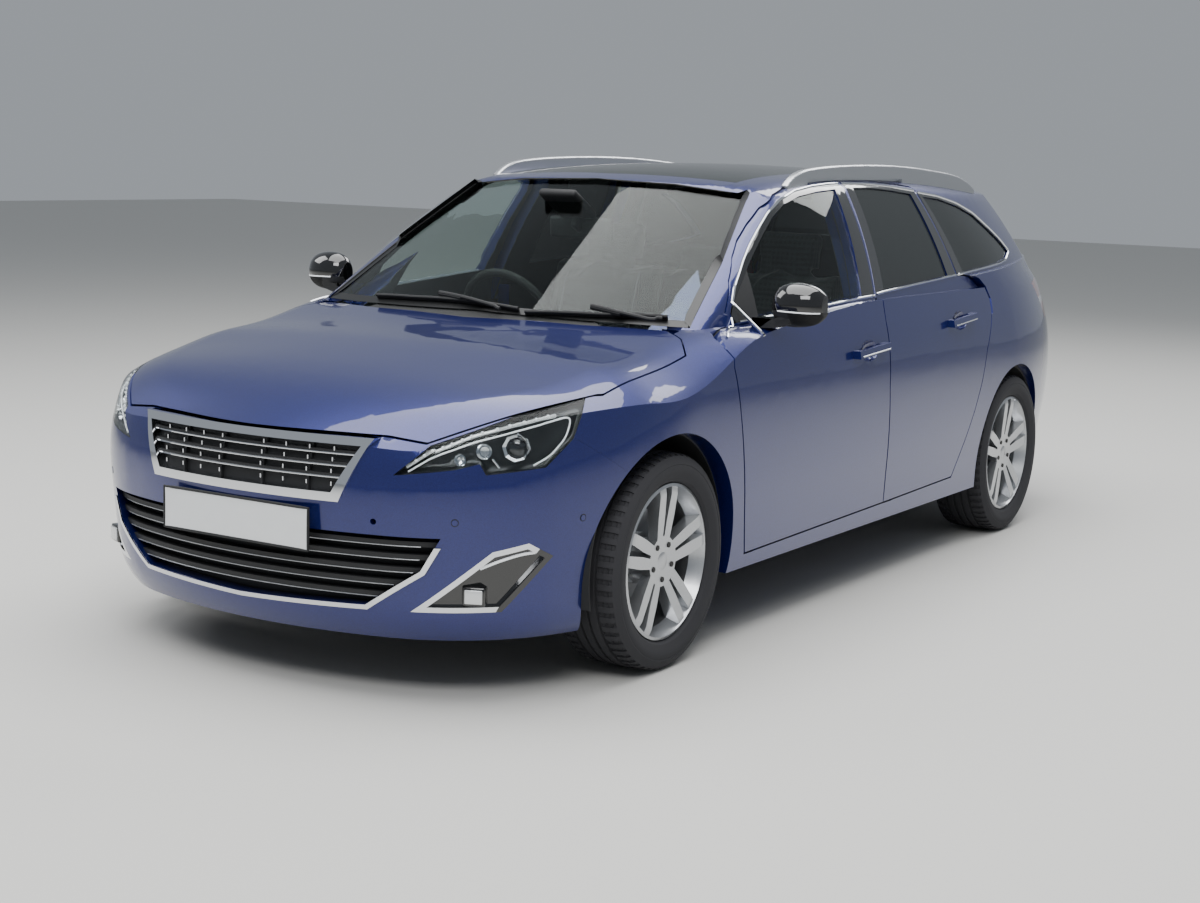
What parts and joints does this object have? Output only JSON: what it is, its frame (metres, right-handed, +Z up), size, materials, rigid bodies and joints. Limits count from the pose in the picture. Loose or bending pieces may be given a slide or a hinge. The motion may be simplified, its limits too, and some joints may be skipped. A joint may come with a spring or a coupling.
{
  "type": "station wagon",
  "caption": "Dark blue station wagon with hinged doors, hood and tailgate, steered front wheels, roof rails and a glazed roof.",
  "frame": {"origin": "on the ground, under the middle of the length and width", "axes": "+X to the car's left, +Y to its rear, +Z up; the nose points along -Y"},
  "size_m": [2.043, 4.5851, 1.4599],
  "materials": {
    "body_paint": "deep blue metallic paint under clear coat",
    "bright_trim": "polished bright trim",
    "matt_black_plastic": "fine-grained moulded plastic",
    "gloss_black_plastic": "polished black",
    "lamp_lens": "clear lamp cover over a dark housing",
    "red_lens": "red lamp lens",
    "clear_glass": "lightly tinted laminated glass",
    "privacy_glass": "dark privacy glass",
    "tyre_rubber": "road tyre",
    "silver_alloy": "painted silver cast wheel",
    "satin_aluminium": "satin rail",
    "black_steel": "black chassis paint",
    "cast_metal": "rough casting",
    "exhaust_steel": "dull stainless steel",
    "seat_cloth": "dark woven seat cloth",
    "cabin_trim": "soft-touch dark trim",
    "plate_white": "blank reflective plate"
  },
  "bodies": {
    "body": {"front_bumper": "body_paint", "fenders": "body_paint", "body_side_left": "body_paint", "body_side_right": "body_paint", "roof": "body_paint", "rear_bumper": "body_paint", "grille_surround": "bright_trim", "front_lip": "bright_trim", "fog_bezels": "bright_trim", "grille_bars": "gloss_black_plastic", "fog_lamps": "gloss_black_plastic", "headlamps": "lamp_lens", "tail_lamps": "red_lens", "windscreen": "clear_glass", "quarter_glass": "privacy_glass", "roof_glass": "privacy_glass", "cowl": "matt_black_plastic", "wheel_liners": "matt_black_plastic", "dashboard": "cabin_trim", "steering_wheel": "cabin_trim", "floor_pan": "black_steel", "load_floor": "black_steel", "rear_wheelhouses": "black_steel", "front_suspension": "black_steel", "rear_axle": "black_steel", "engine_block": "cast_metal", "exhaust": "exhaust_steel", "front_seats": "seat_cloth", "rear_seat": "seat_cloth", "roof_rails": "satin_aluminium", "number_plate": "plate_white"},
    "hood_lid": {"hood": "body_paint"},
    "tailgate_lid": {"tailgate": "body_paint", "back_window": "privacy_glass", "tailgate_lamps": "red_lens"},
    "left_knuckle": {"knuckle_left": "cast_metal"},
    "right_knuckle": {"knuckle_right": "cast_metal"},
    "front_door_left": {"door_front_left": "body_paint", "glass_front_left": "clear_glass", "mirror_left": "gloss_black_plastic"},
    "rear_door_left": {"door_rear_left": "body_paint", "glass_rear_left": "privacy_glass"},
    "front_wheel_left": {"tyre_front_left": "tyre_rubber", "rim_front_left": "silver_alloy"},
    "rear_wheel_left": {"tyre_rear_left": "tyre_rubber", "rim_rear_left": "silver_alloy"},
    "front_door_right": {"door_front_right": "body_paint", "glass_front_right": "clear_glass", "mirror_right": "gloss_black_plastic"},
    "rear_door_right": {"door_rear_right": "body_paint", "glass_rear_right": "privacy_glass"},
    "front_wheel_right": {"tyre_front_right": "tyre_rubber", "rim_front_right": "silver_alloy"},
    "rear_wheel_right": {"tyre_rear_right": "tyre_rubber", "rim_rear_right": "silver_alloy"}
  },
  "joints": [
    {"name": "front_door_left_hinge", "type": "hinge", "parent": "body", "child": "front_door_left", "pos_m": [0.852, -0.94, 0.58], "axis": [0, 0, -1], "range_deg": [0, 68]},
    {"name": "rear_door_left_hinge", "type": "hinge", "parent": "body", "child": "rear_door_left", "pos_m": [0.852, 0.105, 0.58], "axis": [0, 0, -1], "range_deg": [0, 65]},
    {"name": "front_door_right_hinge", "type": "hinge", "parent": "body", "child": "front_door_right", "pos_m": [-0.852, -0.94, 0.58], "axis": [0, 0, 1], "range_deg": [0, 68]},
    {"name": "rear_door_right_hinge", "type": "hinge", "parent": "body", "child": "rear_door_right", "pos_m": [-0.852, 0.105, 0.58], "axis": [0, 0, 1], "range_deg": [0, 65]},
    {"name": "hood_hinge", "type": "hinge", "parent": "body", "child": "hood_lid", "pos_m": [0, -1.13, 0.936], "axis": [-1, 0, 0], "range_deg": [0, 55]},
    {"name": "tailgate_hinge", "type": "hinge", "parent": "body", "child": "tailgate_lid", "pos_m": [0, 1.64, 1.342], "axis": [1, 0, 0], "range_deg": [0, 80]},
    {"name": "steering_left", "type": "hinge", "parent": "body", "child": "left_knuckle", "pos_m": [0.7, -1.4295, 0.3185], "axis": [0, 0, 1], "range_deg": [-36, 36]},
    {"name": "steering_right", "type": "hinge", "parent": "body", "child": "right_knuckle", "pos_m": [-0.7, -1.4295, 0.3185], "axis": [0, 0, 1], "range_deg": [-36, 36]},
    {"name": "front_wheel_left_spin", "type": "hinge", "parent": "left_knuckle", "child": "front_wheel_left", "pos_m": [0.786, -1.4295, 0.3185], "axis": [1, 0, 0], "continuous": true},
    {"name": "rear_wheel_left_spin", "type": "hinge", "parent": "body", "child": "rear_wheel_left", "pos_m": [0.786, 1.3005, 0.3185], "axis": [1, 0, 0], "continuous": true},
    {"name": "front_wheel_right_spin", "type": "hinge", "parent": "right_knuckle", "child": "front_wheel_right", "pos_m": [-0.786, -1.4295, 0.3185], "axis": [1, 0, 0], "continuous": true},
    {"name": "rear_wheel_right_spin", "type": "hinge", "parent": "body", "child": "rear_wheel_right", "pos_m": [-0.786, 1.3005, 0.3185], "axis": [1, 0, 0], "continuous": true}
  ],
  "couplings": [
    {"joint": "steering_right", "follows": "steering_left", "ratio": 1}
  ]
}
